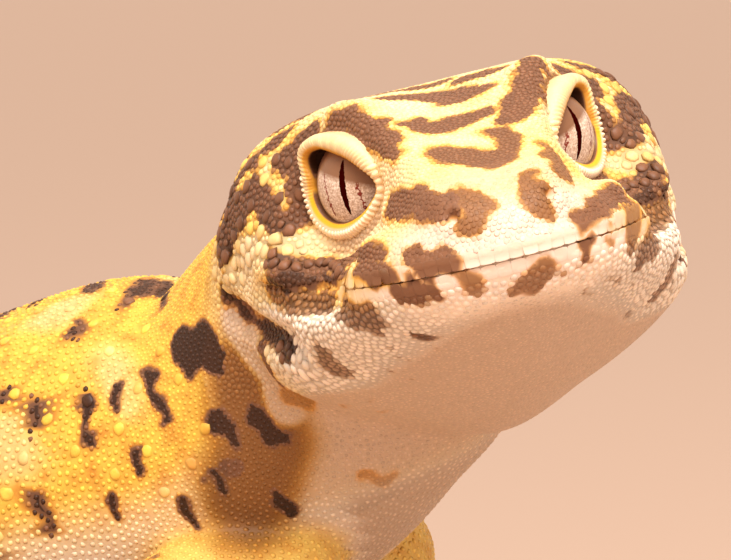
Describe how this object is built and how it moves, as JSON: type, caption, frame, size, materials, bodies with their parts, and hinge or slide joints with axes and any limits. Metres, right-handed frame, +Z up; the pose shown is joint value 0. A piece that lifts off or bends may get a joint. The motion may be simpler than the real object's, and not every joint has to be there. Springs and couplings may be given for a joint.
{
  "type": "leopard gecko",
  "caption": "Life-size leopard gecko standing alert, head raised and turned to its right, with lidded eyes, spotted skin and a thick tapering tail resting on the floor.",
  "frame": {"origin": "middle of the bounding box, on the floor under the feet", "axes": "+X is the way the trunk points, +Y the animal's left, +Z up"},
  "size_m": [0.1884, 0.0708, 0.0454],
  "materials": {
    "skin": "matte granular scales, cream to yellow with dark brown spots",
    "eye": "wet gloss over a taupe iris with a dark slit pupil"
  },
  "bodies": {
    "root": {"head": "skin", "lower_jaw": "skin", "eye_left": "eye", "eye_right": "eye", "neck": "skin", "trunk": "skin", "tail_base": "skin", "tail_middle": "skin", "tail_tip": "skin", "upper_arm_left": "skin", "forearm_left": "skin", "hand_left": "skin", "thigh_left": "skin", "shank_left": "skin", "foot_left": "skin", "upper_arm_right": "skin", "forearm_right": "skin", "hand_right": "skin", "thigh_right": "skin", "shank_right": "skin", "foot_right": "skin"}
  },
  "joints": []
}
